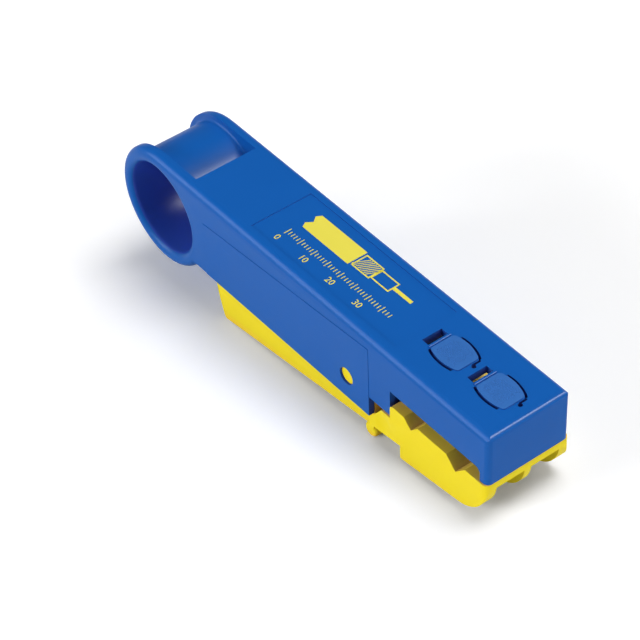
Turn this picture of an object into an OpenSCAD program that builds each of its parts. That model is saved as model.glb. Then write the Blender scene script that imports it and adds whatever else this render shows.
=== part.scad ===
// Coaxial cable stripper: a moulded body with a finger ring, a sprung jaw lever with two V notches
// across it, and two blade packs that hang over the notches inside the nose.
// Origin: the middle of the finger hole's axis. +X runs from the ring to the nose, +Y across the
// tool along the finger hole, +Z up towards the face with the two spring tongues.

/* [Finger ring] */
// Diameter of the finger hole
finger_d = 25; // [21:0.5:26]
// Thickness of the ring between the finger hole and its rims
ring_wall = 4; // [3.75:0.25:5]
// Depth of the groove that runs round the ring between its two rims
barrel_step = 2; // [1:0.25:2]
// Width of each rim beside that groove
rim_w = 3; // [2.6:0.2:4]
// Rounding in the groove's two corners
groove_r = 1; // [0.6:0.1:1]
// Rounding of the finger hole's two mouths
mouth_r = 1.75; // [1:0.25:1.75]

/* [Body] */
// Width across the side walls
body_w = 24; // [23:0.5:28]
// Length from the finger hole's axis to the nose
body_len = 124; // [120:1:140]
// Depth of the side walls below the finger hole's axis
wall_drop = 8.4; // [7:0.2:9.6]
// Thickness of the side walls
side_wall = 1.5; // [1.4:0.1:2]
// Thickness of the top
top_wall = 2.2; // [1.8:0.1:2.8]
// Thickness of the nose wall
nose_wall = 2.6; // [2:0.2:3.4]
// Thickness of the wall between the ring and the hollow for the lever's tail
ring_web = 2.4; // [1.6:0.2:4]
// Rounding of the long top edges and of the ring's rims
edge_r = 2; // [1:0.25:2]
// Rounding of the nose's upright edges
nose_r = 1.5; // [0.8:0.1:2.2]
// Rounding of the nose's top edge
nose_top_r = 1.4; // [0.6:0.2:2]
// Distance from the finger hole's axis to the front edge of the top
plate_start = 13; // [12:0.5:16]
// Height of the raised grip panels above the side walls
panel_lift = 0.1; // [0.1:0.05:0.5]
// Height of the panels' upper edge at its nose end, above the finger hole's axis
panel_top = 12.9; // [10:0.2:13.4]
// Slope of the panels' upper edge, in degrees
panel_slope = 4.5; // [2:0.5:6]
// Depth of the label field in the top
label_sink = 0.2; // [0.1:0.05:0.6]
// Distance from the finger hole's axis to the label field
label_start = 35; // [25:1:45]
// Border between the label field and the long top edges
label_border = 3; // [2.5:0.25:5]

/* [Cable windows] */
// Length of the window in each side wall
window_len = 31.2; // [29.5:0.1:33]
// Height of the window's upper edge above the finger hole's axis
window_top = 5.5; // [5.2:0.1:6.4]
// Rounding of the window's corner at the nose
window_r = 1.6; // [0.6:0.2:2.4]
// Length of the short cheek of wall between the grip panel and the window
cheek_len = 7.7; // [6:0.1:10]
// Depth of the cheek below the finger hole's axis
cheek_drop = 2.3; // [1:0.1:2.6]
// Height of the nose's lower face above the finger hole's axis
nose_z = 1.8; // [1.2:0.1:2.2]

/* [Spring tongues and slots] */
// Distance from a blade pack's middle to the near edge of its screwdriver slot
slot_back = 7.35; // [7:0.05:7.6]
// Width of the screwdriver slots
slot_w = 2.2; // [1.4:0.1:2.4]
// Length of the screwdriver slots
slot_len = 5.7; // [4:0.1:6.4]
// Length of the matt thumb pads on the tongues
pad_len = 9.4; // [8:0.1:9.6]
// Width of the thumb pads at their middle
pad_w = 8.4; // [7.8:0.1:8.6]
// Height of the thumb pads above the top
pad_lift = 0.25; // [0.1:0.05:0.4]
// Width of the opening in the top that each tongue lies in
tongue_gap_w = 9.7; // [9.6:0.1:10]
// Diameter of the relief hole at the root of each tongue
relief_d = 1.2; // [0.8:0.1:1.6]

/* [Jaw lever] */
// Distance from the window's ring end back to the lever's pivot
pivot_back = 15.9; // [14:0.1:19]
// Depth of the pivot below the finger hole's axis
pivot_drop = 1.7; // [0.6:0.1:2.2]
// Diameter of the pivot holes in the side walls
pivot_d = 4.8; // [4:0.1:5.6]
// Radial clearance of the pivot bosses in their holes
pivot_gap = 0.05; // [0.03:0.01:0.08]
// How far the pivot bosses stop short of the grip panels
boss_short = 0.6; // [0.2:0.1:1]
// Clearance between the lever's tail and the walls beside it
tail_gap = 0.2; // [0.15:0.05:0.5]
// Depth of the tail's underside below the pivot, measured at the pivot
tail_depth = 12.7; // [11.5:0.1:13.5]
// Slope of the tail's underside, in degrees
tail_slope = 7.8; // [6:0.2:8.4]
// Rounding of the tail's lower end
tail_corner_r = 1; // [0.4:0.1:1.6]
// Height of the tail's two cheeks at its end
cheek_h = 11.5; // [8:0.5:13]
// Thickness of the tail's floor and cheeks
tail_wall = 1.8; // [1.4:0.1:2.6]
// Radius of the lever's hub
hub_r = 5.5; // [4.5:0.1:6]
// Radius of the finger rib under the lever
rib_r = 2.1; // [1.8:0.1:2.6]
// Distance from the pivot to the finger rib
rib_ahead = 8.3; // [7:0.1:9]
// Depth of the finger rib's axis below the pivot
rib_drop = 11.4; // [11:0.1:12]
// Gap between the jaw and the nose when the jaw is shut
stop_gap = 0.1; // [0.05:0.05:0.3]
// How far the jaw stands out past the side walls on each side
jaw_proud = 0.4; // [0.1:0.05:0.5]
// Distance from the nose to the step at the back of the jaw
jaw_len = 29.9; // [28:0.1:32]
// Depth of the jaw at that step
jaw_depth = 14.6; // [13:0.1:16]
// Depth of the lever's neck behind the step
neck_depth = 10.6; // [9.9:0.1:11.3]
// Slope of the jaw's underside, in degrees
jaw_slope = 7.6; // [6:0.2:9]
// Rounding of the jaw's front
jaw_r = 11; // [7:0.5:11.5]
// Thickness of the jaw's two outer ribs
jaw_rib_side = 3.2; // [2:0.1:4]
// Thickness of the jaw's middle rib
jaw_rib_mid = 2; // [1.4:0.1:3]
// Thickness of the jaw's lip at the front
jaw_lip = 2.1; // [1.6:0.1:3]
// Thickness left under the deeper notch
notch_floor = 2; // [1.6:0.1:3]

/* [V notches] */
// Distance from the nose to the middle of the front notch
front_notch = 10.4; // [10:0.1:10.8]
// Distance between the two notches
notch_pitch = 15.55; // [15.3:0.05:15.8]
// Depth of the front notch, for the thicker cable
front_notch_deep = 3.2; // [2.6:0.1:3.6]
// Depth of the rear notch, for the thinner cable
rear_notch_deep = 2.4; // [2:0.1:3]

/* [Blade packs] */
// Length of a blade pack along the tool
pack_len = 8; // [7:0.1:8.4]
// Distance between the two blades of a pack, which is the strip length
strip_len = 6.35; // [5.6:0.05:6.8]
// Thickness of the blades
blade_t = 0.5; // [0.4:0.05:0.7]
// Thickness of a pack's two outer plates
plate_t = 1.1; // [0.8:0.1:1.2]
// Distance from the top's inner face down to the lower edge of a pack
pack_h = 5.2; // [4.9:0.1:5.8]
// How far the deep blade stands out below its pack
deep_out = 4.9; // [4:0.1:5.2]
// How far the shallow blade stands out below its pack
shallow_out = 3.3; // [2.4:0.1:3.8]
// Diameter of the pins through a pack
pack_pin_d = 1.6; // [1.2:0.1:2]
// Clearance of a pack between its guides
pack_gap = 0.05; // [0.03:0.01:0.15]

/* [Lever spring] */
// Outside diameter of the spring
spring_d = 8; // [7:0.25:9]
// Diameter of the spring's wire
wire_d = 1; // [0.8:0.1:1.2]
// Number of turns
spring_turns = 7; // [5:1:8]
// Distance from the pivot back to the spring
spring_back = 27; // [22:0.5:32]
// Length of the spring with the jaw shut
spring_len = 20; // [18:0.5:21]

/* [Hidden] */
$fn = 96;

// Levels and stations, all worked out from the sizes above
bore_r = finger_d / 2;
ring_r = bore_r + ring_wall;
barrel_r = ring_r - barrel_step;
top_z = ring_r;
ceiling_z = top_z - top_wall;
half_w = body_w / 2;
inner_w = half_w - side_wall;
groove_w = half_w - rim_w;
window_end = body_len - nose_wall;
window_start = window_end - window_len;
panel_end = window_start - cheek_len;
pivot_x = window_start - pivot_back;
pivot_z = -pivot_drop;
hollow_start = ring_r + ring_web;
front_x = body_len - front_notch;
rear_x = front_x - notch_pitch;
land_z = nose_z - stop_gap;
far = 60;

// Lever
lever_w = inner_w - tail_gap;
spine_w = lever_w - 3.3;
tail_end_r = pivot_x - hollow_start - 0.6;
step_x = body_len - jaw_len;
jaw_back = window_start + 0.4;
jaw_w = half_w + jaw_proud;
neck_back = panel_end + 0.3;
neck_top = neck_back + 4.6;
rib_x = pivot_x + rib_ahead;
rib_z = pivot_z - rib_drop;
rib_w = half_w - 0.1;

// Blade packs
deep_y = -strip_len / 2;
shallow_y = strip_len / 2;
blade_face = (strip_len + blade_t) / 2;
inner_face = (strip_len - blade_t) / 2;
pack_w = blade_face + plate_t;
pack_top = ceiling_z;
pack_low = ceiling_z - pack_h;
pin_z = pack_top - 2.2;
pin_x = pack_len / 2 - 2;
guide_t = 1;
guide_h = 4.8;

// Spring
spring_x = pivot_x - spring_back;
seat_low = pivot_z - 9.3;
seat_high = seat_low + spring_len;

// Height of a line through a known point at a slope in degrees
function along(x, x0, z0, slope) = z0 + (x - x0) * tan(slope);
function tail_low(x) = along(x, pivot_x, pivot_z - tail_depth, tail_slope);
function jaw_low(x) = along(x, step_x, land_z - jaw_depth, jaw_slope);
function neck_low(x) = along(x, step_x, land_z - neck_depth, jaw_slope);

// Centre of the jaw's rounded front
jaw_front = [body_len - jaw_r, jaw_low(body_len - jaw_r) + jaw_r / cos(jaw_slope)];

// Where a circle of radius r about the pivot meets a line at the tail's slope, d below the pivot
function tail_meet(r, d) =
    let (t = tan(tail_slope))
    (d * t - sqrt(pow(d * t, 2) - (1 + t * t) * (d * d - r * r))) / (1 + t * t);

// Turns an outline drawn in x and z into a solid between two places across the tool
module across(y0, y1)
    rotate([90, 0, 0])
        translate([0, 0, -y1])
            linear_extrude(y1 - y0)
                children();

// Turns an outline drawn in y and z into a solid between two places along the tool
module lengthwise(x0, x1)
    translate([x0, 0, 0])
        rotate([90, 0, 90])
            linear_extrude(x1 - x0)
                children();

// A round bar or hole across the tool
module crossbar(x, z, r, y0, y1)
    across(y0, y1)
        translate([x, z])
            circle(r);

// The waste outside a fillet of radius r, for the corner at the origin of the quadrant sx, sy
module corner(r, sx, sy)
    difference() {
        translate([sx > 0 ? -r : 0, sy > 0 ? -r : 0])
            square(r);
        translate([-sx * r, -sy * r])
            circle(r);
    }

// The waste outside a rounding with its centre at p, between two directions in degrees
module round_off(p, r, a0, a1)
    translate(p)
        difference() {
            polygon([
                [0, 0],
                1.3 * r * [cos(a0), sin(a0)],
                2 * r * [cos((a0 + a1) / 2), sin((a0 + a1) / 2)],
                1.3 * r * [cos(a1), sin(a1)]
            ]);
            circle(r);
        }

// A rectangle with rounded corners: near start, near end, far end and far start
module soft_rect(x0, y0, x1, y1, radii)
    difference() {
        translate([x0, y0])
            square([x1 - x0, y1 - y0]);
        if (radii[0] > 0) translate([x0, y0]) corner(radii[0], -1, -1);
        if (radii[1] > 0) translate([x1, y0]) corner(radii[1], 1, -1);
        if (radii[2] > 0) translate([x1, y1]) corner(radii[2], 1, 1);
        if (radii[3] > 0) translate([x0, y1]) corner(radii[3], -1, 1);
    }

// Side view of the body, with the cable window open at the bottom
module side_outline()
    difference() {
        union() {
            soft_rect(0, window_top, body_len, top_z, [0, 0, nose_top_r, 0]);
            translate([0, -wall_drop])
                square([panel_end, wall_drop + top_z - nose_top_r]);
            translate([panel_end - 1, -cheek_drop])
                square([window_start - panel_end + 1, cheek_drop + window_top + 1]);
            translate([window_end, nose_z])
                square([nose_wall, window_top - nose_z + 1]);
            translate([window_end, window_top])
                mirror([1, 0])
                    difference() {
                        translate([0, -window_r]) square([window_r, window_r + 1]);
                        translate([window_r, -window_r]) circle(window_r);
                    }
        }
    }

// End view of the body: square below, rounded along the two top edges
module end_outline()
    soft_rect(-half_w, -far, half_w, top_z, [0, 0, edge_r, edge_r]);

// Plan view of the body or the jaw for a given half width, with rounded corners at the nose
module plan_outline(w)
    soft_rect(-far, -w, body_len, w, [0, nose_r, nose_r, 0]);

// The finger ring: a sleeve with two rounded rims and a groove between them
module finger_ring()
    rotate([90, 0, 0])
        rotate_extrude()
            difference() {
                soft_rect(bore_r, -half_w, ring_r, half_w, [mouth_r, edge_r, edge_r, mouth_r]);
                difference() {
                    translate([barrel_r, -groove_w])
                        square([barrel_step + 1, 2 * groove_w]);
                    for (s = [-1, 1])
                        translate([barrel_r, s * groove_w])
                            corner(groove_r, -1, s);
                }
            }

// The block behind the ring, cut away over the ring's groove
module body_block()
    difference() {
        intersection() {
            across(-half_w, half_w) side_outline();
            lengthwise(0, body_len) end_outline();
            translate([0, 0, -far])
                linear_extrude(2 * far)
                    plan_outline(half_w);
        }
        translate([-1, -groove_w, 0])
            cube([plate_start + 1, 2 * groove_w, top_z + 1]);
    }

// The raised grip panel on each side wall
module grip_panel(side)
    across(side > 0 ? half_w - 0.5 : -half_w - panel_lift, side > 0 ? half_w + panel_lift : -half_w + 0.5)
        polygon([
            [hollow_start, -wall_drop],
            [panel_end, -wall_drop],
            [panel_end, panel_top],
            [hollow_start, along(hollow_start, panel_end, panel_top, panel_slope)]
        ]);

// The part of the ring's sleeve that the block may not fill
module finger_hole() {
    crossbar(0, 0, bore_r, -half_w - 1, half_w + 1);
    for (s = [-1, 1])
        translate([0, s * half_w, 0])
            rotate([90, 0, 0])
                rotate_extrude()
                    difference() {
                        translate([bore_r - 1, -mouth_r])
                            square([mouth_r + 1, 2 * mouth_r]);
                        for (t = [-1, 1])
                            translate([bore_r + mouth_r, t * mouth_r])
                                circle(mouth_r);
                    }
}

// The two arcs that bound a thumb pad, as centre and radius, with the pack's middle at the origin
near_arc = [[0.85, 12.5 - pad_w / 2], 12.5];
far_arc = [[0, pad_w / 2 - 11.85], 11.85];
pad_start = 0.85 - pad_len / 2;
pad_end = 0.85 + pad_len / 2;

// One corner of a thumb pad: end is -1 or 1 along the tool, side is -1 or 1 across it
module pad_corner(arc, r, end, side) {
    x = (end > 0 ? pad_end : pad_start) - end * r;
    y = arc[0][1] + side * sqrt(pow(arc[1] - r, 2) - pow(x - arc[0][0], 2));
    round_off([x, y], r, end > 0 ? 0 : side * 180, atan2(y - arc[0][1], x - arc[0][0]));
}

// Thumb pad outline, seen from above
module pad_outline()
    difference() {
        intersection() {
            translate(near_arc[0]) circle(near_arc[1]);
            translate(far_arc[0]) circle(far_arc[1]);
            translate([pad_start, -pad_w]) square([pad_len, 2 * pad_w]);
        }
        pad_corner(near_arc, 0.9, -1, -1);
        pad_corner(near_arc, 0.9, 1, -1);
        pad_corner(far_arc, 1.2, -1, 1);
        pad_corner(far_arc, 0.9, 1, 1);
    }

// A groove of the tongue's gap width along one side of its pad
module side_gap(arc, x0, x1, side)
    intersection() {
        translate(arc[0])
            difference() {
                circle(arc[1] + (tongue_gap_w - pad_w) / 2);
                circle(arc[1]);
            }
        translate([x0, side > 0 ? 0 : -pad_w]) square([x1 - x0, pad_w]);
    }

// The cuts that free a tongue: its slot, a gap along each side and the relief hole at its root
module tongue_cuts() {
    translate([-slot_back, -slot_len / 2])
        square([slot_w, slot_len]);
    side_gap(near_arc, -4.1, 4.4, -1);
    side_gap(far_arc, -2.2, 5.9, 1);
    translate([5.8, 0.5])
        square([0.6, 2.4]);
    translate([6.6, 0.5])
        circle(d = relief_d);
}

// The latch under a tongue's free end, which hooks under the pack's spacer
module latch()
    across(-2.2, 2.2)
        polygon([
            [-slot_back + slot_w, ceiling_z + 0.5],
            [-pack_len / 2 - pack_gap, ceiling_z + 0.5],
            [-pack_len / 2 - pack_gap, ceiling_z - 2.4],
            [-pack_len / 2 + 0.6, ceiling_z - 2.8],
            [-slot_back + slot_w + 0.2, ceiling_z - 4]
        ]);

// Guides under the top that hold one pack in place
module pack_guides() {
    for (s = [-1, 1])
        translate([-pack_len / 2, s > 0 ? pack_w + pack_gap : -pack_w - pack_gap - guide_t, ceiling_z - guide_h])
            cube([pack_len, guide_t, guide_h + 0.5]);
    translate([pack_len / 2 + pack_gap, -pack_w - pack_gap - guide_t, ceiling_z - 2.8])
        cube([guide_t, 2 * (pack_w + pack_gap + guide_t), 3.3]);
}

module body()
    color("royalblue")
        difference() {
            union() {
                difference() {
                    union() {
                        body_block();
                        finger_ring();
                        for (s = [-1, 1])
                            grip_panel(s);
                    }
                    translate([hollow_start, -inner_w, -far])
                        cube([window_end - hollow_start, 2 * inner_w, far + ceiling_z]);
                    translate([label_start, -half_w + label_border, top_z - label_sink])
                        cube([rear_x - slot_back - 1.9 - label_start, 2 * (half_w - label_border), 1]);
                }
                for (x = [rear_x, front_x])
                    translate([x, 0, 0]) {
                        pack_guides();
                        latch();
                        translate([0, 0, top_z - 0.5])
                            linear_extrude(0.5 + pad_lift)
                                pad_outline();
                        crossbar(-slot_back + slot_w + 0.6, top_z, 0.35, -slot_len / 2 - 0.3, slot_len / 2 + 0.3);
                    }
                translate([window_start - 2, -inner_w - 0.5, -cheek_drop])
                    cube([1.4, 2 * inner_w + 1, ceiling_z + cheek_drop + 0.5]);
                translate([spring_x, 0, seat_high])
                    cylinder(d = spring_d + 1.2, h = ceiling_z - seat_high + 0.5);
                translate([spring_x, 0, seat_high - 2.4])
                    cylinder(r = spring_d / 2 - wire_d - 0.6, h = 3);
            }
            finger_hole();
            crossbar(pivot_x, pivot_z, pivot_d / 2, -half_w - 1, half_w + 1);
            for (x = [rear_x, front_x])
                translate([x, 0, ceiling_z - 0.2])
                    linear_extrude(top_wall + 2)
                        tongue_cuts();
        }

// Side view of the jaw and its neck, which lies under the cheek of wall
module jaw_outline()
    difference() {
        union() {
            soft_rect(jaw_back, -far, body_len, land_z, [0, 0, 0, 1.2]);
            polygon([
                [neck_back, -far],
                [neck_back, -wall_drop - 0.2],
                [neck_top, -cheek_drop - 0.2],
                [jaw_back + 2, -cheek_drop - 0.2],
                [jaw_back + 2, -far]
            ]);
        }
        polygon([
            [neck_back - 1, -far - 1],
            [neck_back - 1, neck_low(neck_back - 1)],
            [step_x, neck_low(step_x)],
            [step_x, jaw_low(step_x) + 0.4],
            [step_x + 0.4, jaw_low(step_x + 0.4)],
            [body_len + 1, jaw_low(body_len + 1)],
            [body_len + 1, -far - 1]
        ]);
        difference() {
            translate([jaw_front[0] + jaw_r * sin(jaw_slope), jaw_front[1] - far])
                square(far);
            translate(jaw_front)
                circle(jaw_r);
        }
        v_notch(rear_x, rear_notch_deep);
        v_notch(front_x, front_notch_deep);
    }

// A right-angled notch in the jaw's land
module v_notch(x, deep)
    polygon([
        [x, land_z - deep],
        [x + deep + 1, land_z + 1],
        [x - deep - 1, land_z + 1]
    ]);

// The pockets under the jaw, which leave three ribs that run along it
module jaw_pockets(side) {
    pocket_w = jaw_w - jaw_rib_side - jaw_rib_mid / 2;
    ceiling = land_z - front_notch_deep - notch_floor;
    y0 = side > 0 ? jaw_rib_mid / 2 : -jaw_w + jaw_rib_side;
    across(y0, y0 + pocket_w) {
        soft_rect(step_x + 2.4, -far, body_len + 1, ceiling, [0, 0, 0, 1]);
        soft_rect(front_x + front_notch_deep + 2, -far, body_len + 1, land_z - jaw_lip, [0, 0, 0, 1]);
    }
}

// The shallow dish in each flank of the neck, between the rib and the jaw
module neck_dish(side) {
    x = rib_x + 5.4;
    translate([x, side * (jaw_w + 10), (neck_low(x) - cheek_drop) / 2 - 0.4])
        sphere(r = 10.5);
}

// Side view of the tail, up to the rib
module tail_outline() {
    intersection() {
        translate([pivot_x, pivot_z])
            circle(tail_end_r, $fn = 180);
        difference() {
            polygon([
                [hollow_start, tail_low(hollow_start)],
                [rib_x, tail_low(rib_x)],
                [rib_x, pivot_z + 1],
                [pivot_x, pivot_z + 1],
                [hollow_start, tail_low(hollow_start) + cheek_h]
            ]);
            tail_corner();
        }
    }
    translate([pivot_x, pivot_z])
        circle(hub_r);
}

// Side view of the spine that joins the tail to the jaw
module spine_outline()
    polygon([
        [rib_x - 3, tail_low(rib_x - 3)],
        [rib_x, tail_low(rib_x)],
        [rib_x + 1, neck_low(rib_x + 1)],
        [step_x + 1, neck_low(step_x + 1)],
        [step_x + 1, -cheek_drop - 1],
        [neck_top, -cheek_drop - 0.2],
        [pivot_x, pivot_z + hub_r - 0.4]
    ]);

// The waste outside the rounding at the tail's lower end
module tail_corner() {
    r = tail_corner_r;
    d = tail_depth - r / cos(tail_slope);
    u = tail_meet(tail_end_r - r, d);
    w = u * tan(tail_slope) - d;
    round_off([pivot_x + u, pivot_z + w], r, atan2(w, u), tail_slope - 90);
}

// The concave fillet between the finger rib and the lever's underside on the jaw's side
module rib_fillet() {
    r = 1.6;
    x = rib_x + 2.9;
    z = neck_low(x) - r / cos(jaw_slope);
    difference() {
        polygon([
            [rib_x, rib_z],
            [x, z],
            [x, neck_low(x) + 0.5],
            [rib_x, neck_low(rib_x) + 0.5]
        ]);
        translate([x, z]) circle(r);
    }
}

// The hollow of the tail, open towards the body
module tail_hollow()
    polygon([
        [hollow_start - 1, tail_low(hollow_start - 1) + tail_wall],
        [pivot_x - hub_r - 2.5, tail_low(pivot_x - hub_r - 2.5) + tail_wall],
        [pivot_x - hub_r - 1, pivot_z + far],
        [hollow_start - 1, pivot_z + far]
    ]);

module jaw_lever()
    color("gold")
        union() {
            difference() {
                intersection() {
                    across(-jaw_w, jaw_w) jaw_outline();
                    translate([0, 0, -far])
                        linear_extrude(2 * far)
                            plan_outline(jaw_w);
                }
                jaw_pockets(-1);
                jaw_pockets(1);
                for (s = [-1, 1])
                    neck_dish(s);
            }
            difference() {
                union() {
                    across(-lever_w, lever_w) tail_outline();
                    across(-spine_w, spine_w) spine_outline();
                }
                intersection() {
                    across(-lever_w + tail_wall, lever_w - tail_wall) tail_hollow();
                    crossbar(pivot_x, pivot_z, tail_end_r - tail_wall, -half_w, half_w);
                }
                crossbar(pivot_x, pivot_z, 1.6, -lever_w + tail_wall, lever_w - tail_wall);
            }
            crossbar(rib_x, rib_z, rib_r, -rib_w + 0.8, rib_w - 0.8);
            across(-rib_w, rib_w) rib_fillet();
            for (s = [-1, 1])
                translate([rib_x, s * (rib_w - 0.8), rib_z])
                    rotate([-90 * s, 0, 0])
                        rotate_extrude()
                            soft_rect(0, -0.2, rib_r, 0.8, [0, 0, 0.8, 0]);
            crossbar(pivot_x, pivot_z, pivot_d / 2 - pivot_gap, -half_w - panel_lift + boss_short,
                     half_w + panel_lift - boss_short);
            intersection() {
                union() {
                    translate([spring_x, 0, -far])
                        cylinder(d = spring_d + 1.2, h = far + seat_low);
                    translate([spring_x, 0, seat_low - 1])
                        cylinder(r = spring_d / 2 - wire_d - 0.9, h = 1 + 2.2);
                }
                across(-half_w, half_w)
                    polygon([
                        [hollow_start, tail_low(hollow_start)],
                        [pivot_x, tail_low(pivot_x)],
                        [pivot_x, far],
                        [hollow_start, far]
                    ]);
            }
        }

// Height of the wire along the coil, in turns from its foot: a dead turn, open turns, a dead turn
function climb(t) =
    t < 1 ? wire_d * t :
    t > spring_turns - 1 ? spring_len - wire_d - wire_d * (spring_turns - t) :
    wire_d + (spring_len - 3 * wire_d) * (t - 1) / (spring_turns - 2);

// The coil: rings of wire points swept along a helix
module lever_spring() {
    sides = 8;
    steps = 16;
    n = steps * spring_turns;
    r = (spring_d - wire_d) / 2;
    points = [
        for (i = [0:n], k = [0:sides - 1])
            let (a = 360 * i / steps, b = 360 * k / sides, q = r + wire_d / 2 * cos(b))
            [q * cos(a), q * sin(a), climb(i / steps) + wire_d / 2 * sin(b)]
    ];
    faces = concat(
        [[for (k = [0:sides - 1]) k]],
        [[for (k = [0:sides - 1]) n * sides + sides - 1 - k]],
        [
            for (i = [0:n - 1], k = [0:sides - 1])
                let (m = (k + 1) % sides)
                [i * sides + k, (i + 1) * sides + k, (i + 1) * sides + m, i * sides + m]
        ]
    );
    color("silver")
        translate([spring_x, 0, seat_low + wire_d / 2])
            polyhedron(points, faces, convexity = 10);
}

// Side view of a pack's plates, with an arch over the cable
module plate_outline()
    difference() {
        soft_rect(-pack_len / 2, pack_low, pack_len / 2, pack_top, [1.2, 1.2, 0.6, 0.6]);
        translate([0, pack_low - 2.6])
            circle(3.4);
        pin_holes();
    }

// The two holes that a pack's pins pass through
module pin_holes()
    for (s = [-1, 1])
        translate([s * pin_x, pin_z])
            circle(d = pack_pin_d + 0.04);

// One outer plate of a pack
module pack_plate(side)
    color("dimgray")
        across(side > 0 ? blade_face : -pack_w, side > 0 ? pack_w : -blade_face)
            plate_outline();

// The block between a pack's blades, with a ledge for the latch
module pack_spacer()
    color("dimgray")
        across(-inner_face, inner_face)
            difference() {
                plate_outline();
                translate([-pack_len / 2 - 1, ceiling_z - 4])
                    square([1.7, 1.7]);
            }

// A blade with its edge ground from one side
module pack_blade(y, out)
    color("lightgray")
        difference() {
            across(y - blade_t / 2, y + blade_t / 2)
                difference() {
                    translate([-pack_len / 2 + 0.8, pack_low - out])
                        square([pack_len - 1.6, out + pack_top - 0.8 - pack_low]);
                    pin_holes();
                }
            translate([0, y, pack_low - out])
                lengthwise(-pack_len, pack_len)
                    polygon([[blade_t / 2 - 0.06, -0.1], [blade_t / 2 - 0.06, 0], [-blade_t / 2, 0.9],
                             [-blade_t / 2 - 0.1, 0.9], [-blade_t / 2 - 0.1, -0.1]]);
        }

// A pin through the whole pack
module pack_pin(side)
    color("silver")
        crossbar(side * pin_x, pin_z, pack_pin_d / 2, -pack_w, pack_w);

module rear_pack() translate([rear_x, 0, 0]) children();
module front_pack() translate([front_x, 0, 0]) children();

body();
jaw_lever();
lever_spring();
rear_pack() pack_plate(-1);  // rear_pack_near_plate
rear_pack() pack_plate(1);  // rear_pack_far_plate
rear_pack() pack_spacer();  // rear_pack_spacer
rear_pack() pack_blade(deep_y, deep_out);  // rear_pack_deep_blade
rear_pack() pack_blade(shallow_y, shallow_out);  // rear_pack_shallow_blade
rear_pack() pack_pin(1);  // rear_pack_front_pin
rear_pack() pack_pin(-1);  // rear_pack_back_pin
front_pack() pack_plate(-1);  // front_pack_near_plate
front_pack() pack_plate(1);  // front_pack_far_plate
front_pack() pack_spacer();  // front_pack_spacer
front_pack() pack_blade(deep_y, deep_out);  // front_pack_deep_blade
front_pack() pack_blade(shallow_y, shallow_out);  // front_pack_shallow_blade
front_pack() pack_pin(1);  // front_pack_front_pin
front_pack() pack_pin(-1);  // front_pack_back_pin
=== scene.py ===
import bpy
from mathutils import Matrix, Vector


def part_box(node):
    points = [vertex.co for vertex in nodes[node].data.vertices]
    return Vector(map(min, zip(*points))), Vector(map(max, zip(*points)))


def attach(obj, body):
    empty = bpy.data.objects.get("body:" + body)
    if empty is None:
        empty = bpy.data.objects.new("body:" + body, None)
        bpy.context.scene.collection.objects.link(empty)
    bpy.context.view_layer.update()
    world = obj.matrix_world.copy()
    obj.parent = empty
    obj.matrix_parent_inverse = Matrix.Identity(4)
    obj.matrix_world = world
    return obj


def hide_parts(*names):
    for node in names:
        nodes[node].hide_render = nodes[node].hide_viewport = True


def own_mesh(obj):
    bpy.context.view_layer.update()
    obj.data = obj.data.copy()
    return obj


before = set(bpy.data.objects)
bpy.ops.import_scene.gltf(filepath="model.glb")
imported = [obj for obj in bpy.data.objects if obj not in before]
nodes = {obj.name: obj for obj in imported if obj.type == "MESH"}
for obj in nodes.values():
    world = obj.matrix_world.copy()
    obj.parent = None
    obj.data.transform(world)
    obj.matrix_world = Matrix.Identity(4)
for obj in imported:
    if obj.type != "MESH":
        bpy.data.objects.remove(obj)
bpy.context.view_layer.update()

import math

import bmesh
import bpy
from mathutils import Matrix, Vector

MM = 0.001
PAD_Z = 0.01675
PAD_STARTS = (94.2, 109.75)
BORE_R = 0.0128
scene = bpy.context.scene

# ---------------------------------------------------------------- camera

AZIMUTH, ELEVATION, ROLL = 53.521, 43.666, -2.423
EYE = Vector((406.7, -264.75, 415.1)) * MM
LENS_PX, FRAME_PX, SENSOR = 2544.3, 640.0, 36.0


def make_camera():
    a, e, r = (math.radians(v) for v in (AZIMUTH, ELEVATION, ROLL))
    back = Vector((math.sin(a) * math.cos(e), -math.cos(a) * math.cos(e), math.sin(e)))
    right = Vector((math.cos(a), math.sin(a), 0))
    up = back.cross(right)
    turned_right = right * math.cos(r) + up * math.sin(r)
    turned_up = up * math.cos(r) - right * math.sin(r)
    data = bpy.data.cameras.new("camera")
    data.sensor_width = SENSOR
    data.lens = LENS_PX / FRAME_PX * SENSOR
    data.clip_start, data.clip_end = 0.05, 20
    cam = bpy.data.objects.new("camera", data)
    cam.matrix_world = Matrix.Translation(EYE) @ Matrix((turned_right, turned_up, back)).transposed().to_4x4()
    scene.collection.objects.link(cam)
    scene.camera = cam


make_camera()

# ---------------------------------------------------------------- shader groups


def new_group(name, inputs, outputs):
    """A shader group with float or colour sockets; inputs are (name, kind, default)."""
    tree = bpy.data.node_groups.new(name, "ShaderNodeTree")
    for label, kind, value in inputs:
        sock = tree.interface.new_socket(name=label, in_out="INPUT", socket_type=kind)
        sock.default_value = value
    for label, kind in outputs:
        tree.interface.new_socket(name=label, in_out="OUTPUT", socket_type=kind)
    return tree, tree.nodes.new("NodeGroupInput"), tree.nodes.new("NodeGroupOutput")


def add(tree, kind, links=(), **values):
    """A node in the tree; links are (input, socket) pairs, values set inputs or properties."""
    node = tree.nodes.new("ShaderNode" + kind)
    for key, value in values.items():
        if hasattr(node, key):
            setattr(node, key, value)
        else:
            node.inputs[key.replace("_", " ")].default_value = value
    for key, sock in links:
        tree.links.new(sock, node.inputs[key])
    return node


FLOAT, COLOUR, VECTOR = "NodeSocketFloat", "NodeSocketColor", "NodeSocketVector"


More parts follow.
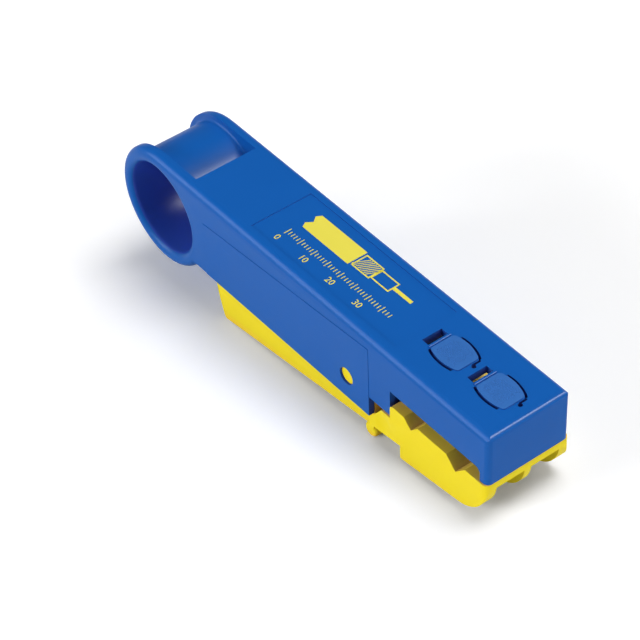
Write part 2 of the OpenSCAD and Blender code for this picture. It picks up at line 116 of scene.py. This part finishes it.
def moulded_skin_group():
    """Moulded plastic: spark-eroded grain, faint flow marks and hairline scuffs."""
    tree, inp, out = new_group(
        "moulded_skin",
        [("Position", VECTOR, (0, 0, 0)), ("Colour", COLOUR, (0.5, 0.5, 0.5, 1)), ("Grain", FLOAT, 4000.0),
         ("Roughness", FLOAT, 0.4), ("Mottle", FLOAT, 0.05), ("Scuffs", FLOAT, 0.2)],
        [("Colour", COLOUR), ("Roughness", FLOAT), ("Height", FLOAT)],
    )
    pos = inp.outputs["Position"]
    grain = add(tree, "TexNoise", [("Vector", pos), ("Scale", inp.outputs["Grain"])], Detail=3.0, Roughness=0.6)
    flow = add(tree, "TexNoise", [("Vector", pos)], Scale=55.0, Detail=3.0, Roughness=0.55)
    stretch = add(tree, "Mapping", [("Vector", pos)])
    stretch.inputs["Rotation"].default_value = (0.0, 0.0, 0.35)
    stretch.inputs["Scale"].default_value = (60.0, 2600.0, 900.0)
    hair = add(tree, "TexNoise", [("Vector", stretch.outputs[0])], Scale=1.0, Detail=1.0)
    scratch = add(tree, "MapRange", [("Value", hair.outputs["Fac"])])
    scratch.inputs["From Min"].default_value, scratch.inputs["From Max"].default_value = 0.70, 0.78
    patch = add(tree, "MapRange", [("Value", flow.outputs["Fac"])])
    patch.inputs["From Min"].default_value, patch.inputs["From Max"].default_value = 0.5, 0.62
    scuff = add(tree, "Math", [(0, scratch.outputs[0]), (1, patch.outputs[0])], operation="MULTIPLY")
    scuff = add(tree, "Math", [(0, scuff.outputs[0]), (1, inp.outputs["Scuffs"])], operation="MULTIPLY")
    tone = add(tree, "MapRange", [("Value", flow.outputs["Fac"])])
    tone.inputs["To Min"].default_value, tone.inputs["To Max"].default_value = -0.5, 0.5
    shade = add(tree, "Math", [(0, tone.outputs[0]), (1, inp.outputs["Mottle"])], operation="MULTIPLY")
    fine = add(tree, "MapRange", [("Value", grain.outputs["Fac"])])
    fine.inputs["To Min"].default_value, fine.inputs["To Max"].default_value = -0.02, 0.02
    lift = add(tree, "Math", [(0, shade.outputs[0]), (1, fine.outputs[0])], operation="ADD")
    lift = add(tree, "Math", [(0, lift.outputs[0]), (1, scuff.outputs[0])], operation="ADD")
    gain = add(tree, "Math", [(0, lift.outputs[0])], operation="ADD")
    gain.inputs[1].default_value = 1.0
    tint = add(tree, "HueSaturation", [("Color", inp.outputs["Colour"]), ("Value", gain.outputs[0])])
    rough = add(tree, "Math", [(0, shade.outputs[0]), (1, inp.outputs["Roughness"])], operation="ADD")
    rough = add(tree, "Math", [(0, rough.outputs[0]), (1, fine.outputs[0])], operation="ADD")
    deep = add(tree, "Math", [(0, grain.outputs["Fac"]), (1, scuff.outputs[0])], operation="SUBTRACT")
    tree.links.new(tint.outputs[0], out.inputs["Colour"])
    tree.links.new(rough.outputs[0], out.inputs["Roughness"])
    tree.links.new(deep.outputs[0], out.inputs["Height"])
    return tree


def drawn_steel_group():
    """Steel with fine lines along one direction and a slight change of tone."""
    tree, inp, out = new_group(
        "drawn_steel",
        [("Position", VECTOR, (0, 0, 0)), ("Colour", COLOUR, (0.6, 0.6, 0.6, 1)), ("Roughness", FLOAT, 0.3)],
        [("Colour", COLOUR), ("Roughness", FLOAT), ("Height", FLOAT)],
    )
    lines = add(tree, "TexNoise", [("Vector", inp.outputs["Position"])], Scale=1.0, Detail=2.0)
    broad = add(tree, "TexNoise", [("Vector", inp.outputs["Position"])], Scale=0.08, Detail=2.0)
    value = add(tree, "MapRange", [("Value", lines.outputs["Fac"])])
    value.inputs["To Min"].default_value, value.inputs["To Max"].default_value = 0.8, 1.15
    tint = add(tree, "HueSaturation", [("Color", inp.outputs["Colour"]), ("Value", value.outputs[0])])
    rough = add(tree, "MapRange", [("Value", broad.outputs["Fac"])])
    rough.inputs["To Min"].default_value, rough.inputs["To Max"].default_value = -0.08, 0.12
    total = add(tree, "Math", [(0, rough.outputs[0]), (1, inp.outputs["Roughness"])], operation="ADD")
    tree.links.new(tint.outputs[0], out.inputs["Colour"])
    tree.links.new(total.outputs[0], out.inputs["Roughness"])
    tree.links.new(lines.outputs["Fac"], out.inputs["Height"])
    return tree


MOULDED = moulded_skin_group()
STEEL = drawn_steel_group()

# ---------------------------------------------------------------- materials


def new_material(name):
    mat = bpy.data.materials.new(name)
    mat.use_nodes = True
    mat.node_tree.nodes.clear()
    return mat, mat.node_tree


def surface(tree, group, strength, distance, **plain):
    """Principled shader fed by a group's colour, roughness and height; plain values go on its own sockets."""
    shader = add(tree, "BsdfPrincipled")
    for key, value in plain.items():
        shader.inputs[key.replace("_", " ")].default_value = value
    bump = add(tree, "Bump", [("Height", group.outputs["Height"])], Strength=strength, Distance=distance)
    tree.links.new(group.outputs["Colour"], shader.inputs["Base Color"])
    tree.links.new(group.outputs["Roughness"], shader.inputs["Roughness"])
    tree.links.new(bump.outputs[0], shader.inputs["Normal"])
    out = add(tree, "OutputMaterial", [("Surface", shader.outputs[0])])
    return shader, out


def colour_mix(tree, factor, first, second):
    """A colour between two others, each given as a tuple or as a socket."""
    node = add(tree, "Mix", [("Factor", factor)], data_type="RGBA")
    sockets = [s for s in node.inputs if s.type == "RGBA"]
    for sock, colour in zip(sockets, (first, second)):
        if isinstance(colour, tuple):
            sock.default_value = (*colour, 1)
        else:
            tree.links.new(colour, sock)
    return next(s for s in node.outputs if s.type == "RGBA")


def plastic(name, colour, roughness, deep=None, reach=6.0, span=(0.35, 0.95), cast=None, grain=3500.0, bump=0.25,
            mottle=0.06, scuffs=0.15, specular=0.1):
    """Moulded plastic. 'deep' is painted shade: a richer colour that ambient occlusion mixes in where a recess of
    about
    'reach' mm holds the plastic's own light, and 'cast' is a painted bounce colour that diffuse rays see in place of
    the plastic's, for the light that it throws on things beside it."""
    mat, tree = new_material(name)
    place = add(tree, "TexCoord")
    group = tree.nodes.new("ShaderNodeGroup")
    group.node_tree = MOULDED
    tree.links.new(place.outputs["Object"], group.inputs["Position"])
    group.inputs["Colour"].default_value = (*colour, 1)
    group.inputs["Grain"].default_value = grain
    group.inputs["Roughness"].default_value = roughness
    group.inputs["Mottle"].default_value = mottle
    group.inputs["Scuffs"].default_value = scuffs
    if deep:
        # Painted shade: ambient occlusion mixes the deep colour into recesses.
        shade = add(tree, "AmbientOcclusion", samples=8, Distance=reach * MM)
        open_part = add(tree, "MapRange", [("Value", shade.outputs["AO"])])
        open_part.inputs["From Min"].default_value, open_part.inputs["From Max"].default_value = span
        hue = colour_mix(tree, open_part.outputs[0], deep, colour)
        # Painted bounce light: diffuse rays see the cast colour instead of the plastic's own.
        if cast:
            path = add(tree, "LightPath")
            hue = colour_mix(tree, path.outputs["Is Diffuse Ray"], hue, cast)
        tree.links.new(hue, group.inputs["Colour"])
    surface(tree, group, bump, 0.00004, Specular_IOR_Level=specular)
    return mat


def steel(name, colour, roughness, scale):
    mat, tree = new_material(name)
    place = add(tree, "TexCoord")
    along = add(tree, "Mapping", [("Vector", place.outputs["Object"])])
    along.inputs["Scale"].default_value = scale
    group = tree.nodes.new("ShaderNodeGroup")
    group.node_tree = STEEL
    tree.links.new(along.outputs[0], group.inputs["Position"])
    group.inputs["Colour"].default_value = (*colour, 1)
    group.inputs["Roughness"].default_value = roughness
    surface(tree, group, 0.15, 0.00002, Metallic=1.0)
    return mat


# The body blue takes painted shade: a darker violet mixed in where ambient occlusion finds recesses.
BLUE = plastic("blue_body_plastic", (0.005, 0.108, 0.440), 0.33, deep=(0.040, 0.055, 0.310), reach=6.0,
               span=(0.15, 0.65), specular=0.12)
# A more violet copy of the body blue for the bore, which is painted shade, with more painted shade from ambient
# occlusion over about 20 mm.
BORE_SHADE_BLUE = plastic("blue_bore_plastic", (0.028, 0.080, 0.460), 0.36, deep=(0.085, 0.034, 0.260), reach=20.0,
                    span=(0.30, 0.75), specular=0.2)
PAD_BLUE = plastic("matt_pad_plastic", (0.032, 0.150, 0.475), 0.62, grain=1500.0, bump=0.8, mottle=0.12, scuffs=0.0)
# The lever yellow takes painted shade, an orange mixed in by ambient occlusion in recesses, and a painted greyish
# bounce colour for diffuse rays.
YELLOW = plastic("yellow_lever_plastic", (0.93, 0.745, 0.013), 0.42, deep=(0.98, 0.50, 0.05), span=(0.2, 0.75), cast=(0.62, 0.58, 0.45))
# A brighter copy of the yellow for the up-facing notch faces under the body, which is painted light, with a deeper
# orange painted shade from ambient occlusion.
YELLOW_NOTCH_PAINTED_LIGHT_SHADE = plastic("yellow_notch_plastic", (1.0, 0.76, 0.05), 0.42, deep=(1.0, 0.57, 0.15), reach=8.0, cast=(0.62, 0.58, 0.45))
BLACK = plastic("black_pack_plastic", (0.018, 0.018, 0.02), 0.55)
PRINT = plastic("yellow_print", (0.84, 0.74, 0.09), 0.5, grain=5000.0, bump=0.1, scuffs=0.0)
BLADE = steel("ground_blade_steel", (0.62, 0.63, 0.65), 0.25, (300.0, 300.0, 9000.0))
WIRE = steel("drawn_wire_steel", (0.56, 0.56, 0.57), 0.3, (2500.0, 2500.0, 600.0))

# ---------------------------------------------------------------- pieces from the CAD solids


def link(name, mesh):
    obj = bpy.data.objects.new(name, mesh)
    scene.collection.objects.link(obj)
    return obj


def evaluated_mesh(obj, name):
    """The object's final mesh as a plain mesh, with its modifiers gone."""
    graph = bpy.context.evaluated_depsgraph_get()
    mesh = bpy.data.meshes.new_from_object(obj.evaluated_get(graph))
    mesh.name = name
    return mesh


def merged_copy(node, name):
    """A copy of a CAD node's mesh with its triangles joined, flat faces made whole."""
    mesh = nodes[node].data.copy()
    mesh.name = name
    if "custom_normal" in mesh.attributes:
        mesh.attributes.remove(mesh.attributes["custom_normal"])
    mesh.materials.clear()
    bm = bmesh.new()
    bm.from_mesh(mesh)
    bmesh.ops.remove_doubles(bm, verts=bm.verts, dist=2e-6)
    bmesh.ops.dissolve_limit(bm, angle_limit=math.radians(0.25), verts=bm.verts, edges=bm.edges)
    bmesh.ops.triangulate(bm, faces=[f for f in bm.faces if len(f.verts) > 12])
    bm.to_mesh(mesh)
    bm.free()
    return mesh


def soften(node, name, width, materials, segments=2, angle=32):
    """A piece that stands for a CAD node, with its sharp edges rounded a little."""
    obj = link(name, merged_copy(node, name))
    for mat in materials:
        obj.data.materials.append(mat)
    for poly in obj.data.polygons:
        poly.use_smooth = True
    bevel = obj.modifiers.new("edge_break", "BEVEL")
    bevel.width = width * MM
    bevel.segments = segments
    bevel.limit_method = "ANGLE"
    bevel.angle_limit = math.radians(angle)
    bevel.use_clamp_overlap = True
    bevel.harden_normals = True
    bevel.miter_outer = "MITER_ARC"
    mesh = evaluated_mesh(obj, name)
    obj.modifiers.clear()
    obj.data = mesh
    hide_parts(node)
    return obj


body = soften("body", "body_moulding", 0.12, [BLUE, PAD_BLUE, BORE_SHADE_BLUE])
for poly in body.data.polygons:
    if poly.normal.z > 0.99 and abs(poly.center.z - PAD_Z) < 0.00002 and poly.center.x > 0.09:
        poly.material_index = 1
    # Faces inside the bore take the painted-shade copy of the blue.
    elif math.hypot(poly.center.x, poly.center.z) < BORE_R:
        poly.material_index = 2
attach(body, "body")

lever = soften("jaw_lever", "jaw_lever_moulding", 0.25, [YELLOW, YELLOW_NOTCH_PAINTED_LIGHT_SHADE])
# Up-facing faces of the jaw under the body take the painted light and shade copy of the yellow.
for poly in lever.data.polygons:
    if poly.normal.z > 0.3 and poly.center.x > 0.085 and poly.center.z > -0.004:
        poly.material_index = 1
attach(lever, "lever")

for node in nodes:
    if node.endswith(("plate", "spacer")):
        piece = soften(node, node + "_moulding", 0.12, [BLACK])
        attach(piece, "body")
    elif node.endswith(("blade", "pin")):
        nodes[node].data.materials.clear()
        nodes[node].data.materials.append(BLADE if "blade" in node else WIRE)

# ---------------------------------------------------------------- geometry node helpers


def node_group(name, inputs):
    """A Geometry Nodes group with a geometry in and out; inputs are (name, kind, default)."""
    tree = bpy.data.node_groups.new(name, "GeometryNodeTree")
    tree.interface.new_socket(name="Geometry", in_out="INPUT", socket_type="NodeSocketGeometry")
    for label, kind, value in inputs:
        sock = tree.interface.new_socket(name=label, in_out="INPUT", socket_type=kind)
        if value is not None:
            sock.default_value = value
    tree.interface.new_socket(name="Geometry", in_out="OUTPUT", socket_type="NodeSocketGeometry")
    return tree, tree.nodes.new("NodeGroupInput"), tree.nodes.new("NodeGroupOutput")


def grown(mesh, name, tree, **values):
    """The plain mesh that a Geometry Nodes group makes from a mesh; values go in by the inputs' names."""
    source = link(name, mesh)
    mod = source.modifiers.new(tree.name, "NODES")
    mod.node_group = tree
    for item in tree.interface.items_tree:
        if item.in_out == "INPUT" and item.name.replace(" ", "_") in values:
            mod[item.identifier] = values[item.name.replace(" ", "_")]
    made = evaluated_mesh(source, name)
    source.modifiers.clear()
    source.data = made
    return source


def row_of_bars():
    """Bars of one size in a row, every n-th one longer, such as the marks of a rule."""
    tree, inp, out = node_group(
        "row_of_bars",
        [("Count", "NodeSocketInt", 10), ("Spacing", "NodeSocketFloat", 0.001), ("Size", "NodeSocketVector", (0.0002, 0.001, 0.00003)),
         ("Every", "NodeSocketInt", 5), ("Longer", "NodeSocketFloat", 1.6), ("Slant", "NodeSocketFloat", 0.0),
         ("Material", "NodeSocketMaterial", None)],
    )
    new, join = tree.nodes.new, tree.links.new
    step = new("ShaderNodeCombineXYZ")
    join(inp.outputs["Spacing"], step.inputs["X"])
    line = new("GeometryNodeMeshLine")
    join(inp.outputs["Count"], line.inputs["Count"])
    join(step.outputs[0], line.inputs["Offset"])
    bar = new("GeometryNodeMeshCube")
    join(inp.outputs["Size"], bar.inputs["Size"])
    index = new("GeometryNodeInputIndex")
    rest = new("ShaderNodeMath")
    rest.operation = "FLOORED_MODULO"
    join(index.outputs[0], rest.inputs[0])
    join(inp.outputs["Every"], rest.inputs[1])
    first = new("ShaderNodeMath")
    first.operation = "LESS_THAN"
    first.inputs[1].default_value = 0.5
    join(rest.outputs[0], first.inputs[0])
    long = new("ShaderNodeMapRange")
    join(first.outputs[0], long.inputs["Value"])
    long.inputs["To Min"].default_value = 1.0
    join(inp.outputs["Longer"], long.inputs["To Max"])
    scale = new("ShaderNodeCombineXYZ")
    scale.inputs["X"].default_value = scale.inputs["Z"].default_value = 1.0
    join(long.outputs[0], scale.inputs["Y"])
    turn = new("ShaderNodeCombineXYZ")
    join(inp.outputs["Slant"], turn.inputs["Z"])
    place = new("GeometryNodeInstanceOnPoints")
    join(line.outputs[0], place.inputs["Points"])
    join(bar.outputs[0], place.inputs["Instance"])
    join(turn.outputs[0], place.inputs["Rotation"])
    join(scale.outputs[0], place.inputs["Scale"])
    real = new("GeometryNodeRealizeInstances")
    join(place.outputs[0], real.inputs[0])
    paint = new("GeometryNodeSetMaterial")
    join(real.outputs[0], paint.inputs["Geometry"])
    join(inp.outputs["Material"], paint.inputs["Material"])
    join(paint.outputs[0], out.inputs[0])
    return tree


def grain_of_dots():
    """Small flat domes scattered over faces at an even distance, such as a moulded grip grain."""
    tree, inp, out = node_group(
        "grain_of_dots",
        [("Distance", "NodeSocketFloat", 0.0005), ("Radius", "NodeSocketFloat", 0.00015), ("Seed", "NodeSocketInt", 3),
         ("Material", "NodeSocketMaterial", None)],
    )
    new, join = tree.nodes.new, tree.links.new
    scatter = new("GeometryNodeDistributePointsOnFaces")
    scatter.distribute_method = "POISSON"
    scatter.inputs["Density Max"].default_value = 1e9
    join(inp.outputs[0], scatter.inputs["Mesh"])
    join(inp.outputs["Distance"], scatter.inputs["Distance Min"])
    join(inp.outputs["Seed"], scatter.inputs["Seed"])
    dot = new("GeometryNodeMeshUVSphere")
    dot.inputs["Segments"].default_value, dot.inputs["Rings"].default_value = 8, 6
    join(inp.outputs["Radius"], dot.inputs["Radius"])
    place = new("GeometryNodeInstanceOnPoints")
    place.inputs["Scale"].default_value = (1.0, 1.0, 0.45)
    join(scatter.outputs[0], place.inputs["Points"])
    join(dot.outputs[0], place.inputs["Instance"])
    real = new("GeometryNodeRealizeInstances")
    join(place.outputs[0], real.inputs[0])
    smooth = new("GeometryNodeSetShadeSmooth")
    join(real.outputs[0], smooth.inputs["Geometry"])
    paint = new("GeometryNodeSetMaterial")
    join(smooth.outputs[0], paint.inputs["Geometry"])
    join(inp.outputs["Material"], paint.inputs["Material"])
    join(paint.outputs[0], out.inputs[0])
    return tree


def wire_along_path():
    """A round wire with closed ends along a chain of edges."""
    tree, inp, out = node_group(
        "wire_along_path",
        [("Radius", "NodeSocketFloat", 0.0005), ("Sides", "NodeSocketInt", 12), ("Material", "NodeSocketMaterial", None)],
    )
    new, join = tree.nodes.new, tree.links.new
    path = new("GeometryNodeMeshToCurve")
    join(inp.outputs[0], path.inputs["Mesh"])
    ring = new("GeometryNodeCurvePrimitiveCircle")
    join(inp.outputs["Sides"], ring.inputs["Resolution"])
    join(inp.outputs["Radius"], ring.inputs["Radius"])
    wire = new("GeometryNodeCurveToMesh")
    wire.inputs["Fill Caps"].default_value = True
    join(path.outputs[0], wire.inputs["Curve"])
    join(ring.outputs[0], wire.inputs["Profile Curve"])
    smooth = new("GeometryNodeSetShadeSmooth")
    join(wire.outputs[0], smooth.inputs["Geometry"])
    real = new("GeometryNodeRealizeInstances")
    join(smooth.outputs[0], real.inputs[0])
    paint = new("GeometryNodeSetMaterial")
    join(real.outputs[0], paint.inputs["Geometry"])
    join(inp.outputs["Material"], paint.inputs["Material"])
    join(paint.outputs[0], out.inputs[0])
    return tree


# ---------------------------------------------------------------- the spring under the tail


SPRING_TURNS, STEPS_A_TURN, WIRE_D = 7, 28, 1.0


def coil_climb(turn, length):
    """Height of the wire's centre line after some turns; the first and last turn lie closed."""
    if turn < 1:
        return WIRE_D * turn
    if turn > SPRING_TURNS - 1:
        return length - WIRE_D - WIRE_D * (SPRING_TURNS - turn)
    return WIRE_D + (length - 3 * WIRE_D) * (turn - 1) / (SPRING_TURNS - 2)


def make_spring():
    low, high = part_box("lever_spring")
    centre_x = (low[0] + high[0]) / 2
    radius = (high[1] - low[1]) / 2 - WIRE_D / 2 * MM
    length = (high[2] - low[2]) / MM
    points = []
    for i in range(SPRING_TURNS * STEPS_A_TURN + 1):
        turn = i / STEPS_A_TURN
        angle = turn * 2 * math.pi
        points.append((centre_x + radius * math.cos(angle), radius * math.sin(angle),
                       low[2] + (WIRE_D / 2 + coil_climb(turn, length)) * MM))
    mesh = bpy.data.meshes.new("lever_coil")
    mesh.from_pydata(points, [(i, i + 1) for i in range(len(points) - 1)], [])
    coil = grown(mesh, "lever_coil", wire_along_path(), Radius=WIRE_D * 0.49 * MM, Sides=12, Material=WIRE)
    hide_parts("lever_spring")
    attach(coil, "body")
    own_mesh(coil)


make_spring()

# ---------------------------------------------------------------- the pads' grain


def pad_grain():
    """Fine raised dots in the middle of each thumb pad."""
    bm = bmesh.new()
    for x0 in PAD_STARTS:
        corners = [(x0 + 1.2, -2.6), (x0 + 7.6, -3.0), (x0 + 7.6, 3.0), (x0 + 1.2, 2.6)]
        bm.faces.new([bm.verts.new((x * MM, y * MM, PAD_Z)) for x, y in corners])
    mesh = bpy.data.meshes.new("thumb_pad_grain")
    bm.to_mesh(mesh)
    bm.free()
    dots = grown(mesh, "thumb_pad_grain", grain_of_dots(), Distance=0.00052, Radius=0.0002, Seed=3, Material=PAD_BLUE)
    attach(dots, "body")


# ---------------------------------------------------------------- the print on the label field


PRINT_Z = 0.01631
PRINT_THICK = 0.00004


def prism(bm, outline):
    """A thin solid on the label field from an outline in mm, given anticlockwise."""
    low = [bm.verts.new((x * MM, y * MM, PRINT_Z - PRINT_THICK)) for x, y in outline]
    high = [bm.verts.new((x * MM, y * MM, PRINT_Z + PRINT_THICK)) for x, y in outline]
    n = len(outline)
    bm.faces.new(high)
    bm.faces.new(list(reversed(low)))
    for i in range(n):
        bm.faces.new((low[i], low[(i + 1) % n], high[(i + 1) % n], high[i]))


def box_outline(x0, y0, x1, y1):
    return [(x0, y0), (x1, y0), (x1, y1), (x0, y1)]


def frame_of_bars(bm, x0, y0, x1, y1, w):
    """An outline drawn with bars of width w."""
    for part in ((x0, y0, x1, y0 + w), (x0, y1 - w, x1, y1), (x0, y0 + w, x0 + w, y1 - w), (x1 - w, y0 + w, x1, y1 - w)):
        prism(bm, box_outline(*part))


def cable_pictogram():
    """A stripped coaxial cable seen from the side: jacket, braid, insulation and core."""
    y = 3.2
    bm = bmesh.new()
    prism(bm, [(43.0, y - 3.0)] + [(60.0, y - 3.0), (60.0, y + 3.0)] + [(43.0, y + 3.0), (42.2, y + 1.6), (43.4, y), (42.2, y - 1.6)])
    frame_of_bars(bm, 60.6, y - 2.5, 67.0, y + 2.5, 0.35)
    frame_of_bars(bm, 67.0, y - 1.9, 73.4, y + 1.9, 0.35)
    prism(bm, box_outline(73.4, y - 0.5, 79.8, y + 0.5))
    mesh = bpy.data.meshes.new("cable_pictogram")
    bm.to_mesh(mesh)
    bm.free()
    mesh.materials.append(PRINT)
    return link("cable_pictogram", mesh)


def print_row(name, x, y, **values):
    """A row of printed bars that starts at x, y in mm on the label field."""
    row = grown(bpy.data.meshes.new(name), name, BARS, Material=PRINT, **values)
    for vert in row.data.vertices:
        vert.co += Vector((x * MM, y * MM, PRINT_Z))
    return row


def digits(text, x, y, height):
    """A plain number printed with its middle at x and its foot at y, in mm."""
    curve = bpy.data.curves.new("number_" + text, "FONT")
    curve.body = text
    curve.size = height * MM
    curve.align_x = "CENTER"
    curve.extrude = PRINT_THICK
    curve.resolution_u = 3
    holder = link("number_" + text, curve)
    mesh = evaluated_mesh(holder, "number_" + text)
    bpy.data.objects.remove(holder)
    for vert in mesh.vertices:
        vert.co += Vector((x * MM, y * MM, PRINT_Z))
    mesh.materials.clear()
    mesh.materials.append(PRINT)
    return link("number_" + text, mesh)


def joined(name, objects):
    """One piece made of several meshes."""
    bm = bmesh.new()
    for obj in objects:
        bm.from_mesh(obj.data)
    mesh = bpy.data.meshes.new(name)
    bm.to_mesh(mesh)
    bm.free()
    for obj in objects:
        bpy.data.objects.remove(obj)
    mesh.materials.append(PRINT)
    return link(name, mesh)


BARS = row_of_bars()
pad_grain()
marks = [cable_pictogram()]
marks.append(print_row("braid_lines", 61.5, 3.2, Count=8, Spacing=0.00072, Size=(0.00022, 0.0046, 0.00008), Every=99, Longer=1.0, Slant=-0.5))
marks.append(print_row("rule_marks", 42.0, -3.4, Count=39, Spacing=0.001, Size=(0.0002, 0.0013, 0.00008), Every=5, Longer=1.7))
for step in range(0, 39, 10):
    marks.append(digits(str(step), 42.0 + step, -7.4, 2.6))
label_print = joined("label_print", marks)
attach(label_print, "body")

# ---------------------------------------------------------------- floor, light


def floor_material():
    mat, tree = new_material("pale_floor")
    place = add(tree, "TexCoord")
    paper = add(tree, "TexNoise", [("Vector", place.outputs["Object"])], Scale=900.0, Detail=2.0)
    path = add(tree, "LightPath")
    seen = add(tree, "Math", [(0, path.outputs["Is Camera Ray"]), (1, path.outputs["Is Transmission Ray"])], operation="MAXIMUM")
    pale = add(tree, "MapRange", [("Value", paper.outputs["Fac"])])
    pale.inputs["To Min"].default_value, pale.inputs["To Max"].default_value = 0.80, 0.84
    tone = add(tree, "Mix", [("Factor", seen.outputs[0]), ("A", pale.outputs[0])], data_type="FLOAT", B=1.16)
    matt = add(tree, "BsdfDiffuse", [("Color", tone.outputs[0])])
    reach = add(tree, "VectorMath", [(0, place.outputs["Object"])], operation="LENGTH")
    far = add(tree, "MapRange", [("Value", reach.outputs["Value"])])
    far.inputs["From Min"].default_value, far.inputs["From Max"].default_value = 0.16, 0.32
    white = add(tree, "Math", [(0, far.outputs[0]), (1, seen.outputs[0])], operation="MULTIPLY")
    glow = add(tree, "Emission", Strength=1.0)
    top = add(tree, "MixShader", [("Fac", white.outputs[0]), (1, matt.outputs[0]), (2, glow.outputs[0])])
    clear = add(tree, "BsdfTransparent")
    side = add(tree, "NewGeometry")
    both = add(tree, "MixShader", [("Fac", side.outputs["Backfacing"]), (1, top.outputs[0]), (2, clear.outputs[0])])
    add(tree, "OutputMaterial", [("Surface", both.outputs[0])])
    return mat


def rest_line():
    """The tail's corner and the finger rib that the tool rests on, as (x, z) points."""
    points = [(v.co.x, v.co.z) for v in nodes["jaw_lever"].data.vertices]
    low = min(points, key=lambda p: p[1])
    reach = [p for p in points if p[0] > low[0] + 0.03]
    high = min(reach, key=lambda p: (p[1] - low[1]) / (p[0] - low[0]))
    return low, high


def make_floor():
    (x0, z0), (x1, z1) = rest_line()
    slope = math.atan2(z1 - z0, x1 - x0)
    size = 4.0
    mesh = bpy.data.meshes.new("floor")
    turn = Matrix.Translation((x0, 0, z0 - 0.00001)) @ Matrix.Rotation(-slope, 4, "Y")
    corners = [turn @ Vector((x * size, y * size, 0)) for x, y in ((-1, -1), (1, -1), (1, 1), (-1, 1))]
    mesh.from_pydata(corners, [], [(0, 1, 2, 3)])
    floor = link("floor", mesh)
    mesh.materials.append(floor_material())


def softbox(name, toward, distance, size, power, aim=(0.06, 0.0, 0.0), mirrored=True, shading=True):
    """A lamp in the direction 'toward' from the tool, facing it; 'mirrored' says that gloss shows it, 'shading' that
    it lights matt surfaces."""
    data = bpy.data.lights.new(name, "AREA")
    data.shape = "RECTANGLE"
    data.size, data.size_y = size
    data.energy = power
    lamp = bpy.data.objects.new(name, data)
    away = Vector(toward).normalized()
    lamp.matrix_world = Matrix.Translation(Vector(aim) + away * distance) @ away.to_track_quat("Z", "Y").to_matrix().to_4x4()
    lamp.visible_glossy, lamp.visible_diffuse = mirrored, shading
    scene.collection.objects.link(lamp)


def make_world():
    world = bpy.data.worlds.new("studio")
    world.use_nodes = True
    tree = world.node_tree
    tree.nodes.clear()
    path = add(tree, "LightPath")
    seen = add(tree, "Math", [(0, path.outputs["Is Camera Ray"]), (1, path.outputs["Is Transmission Ray"])], operation="MAXIMUM")
    level = add(tree, "MapRange", [("Value", seen.outputs[0])])
    level.inputs["To Min"].default_value, level.inputs["To Max"].default_value = 0.176, 1.0
    sky = add(tree, "Background", [("Strength", level.outputs[0])], Color=(1, 1, 1, 1))
    add(tree, "OutputWorld", [("Surface", sky.outputs[0])])
    scene.world = world


make_floor()
make_world()
softbox("key_softbox", (0.12, 0.25, 1.0), 1.4, (0.8, 0.8), 11.3, mirrored=False)
softbox("near_softbox", (-0.30, -0.93, 0.28), 1.3, (0.6, 0.4), 10.2, mirrored=False)
softbox("nose_softbox", (0.85, 0.15, 0.35), 1.3, (0.5, 0.5), 4.3, mirrored=False)
softbox("far_softbox", (-0.15, 0.96, 0.24), 1.3, (0.5, 0.3), 3.3, mirrored=False)
softbox("edge_glint", (-0.58, -0.76, 0.36), 1.3, (0.9, 0.8), 15, shading=False)
softbox("nose_glint", (0.50, 0.43, 0.75), 1.3, (0.45, 0.45), 36, shading=False)

scene.view_settings.view_transform = "Standard"
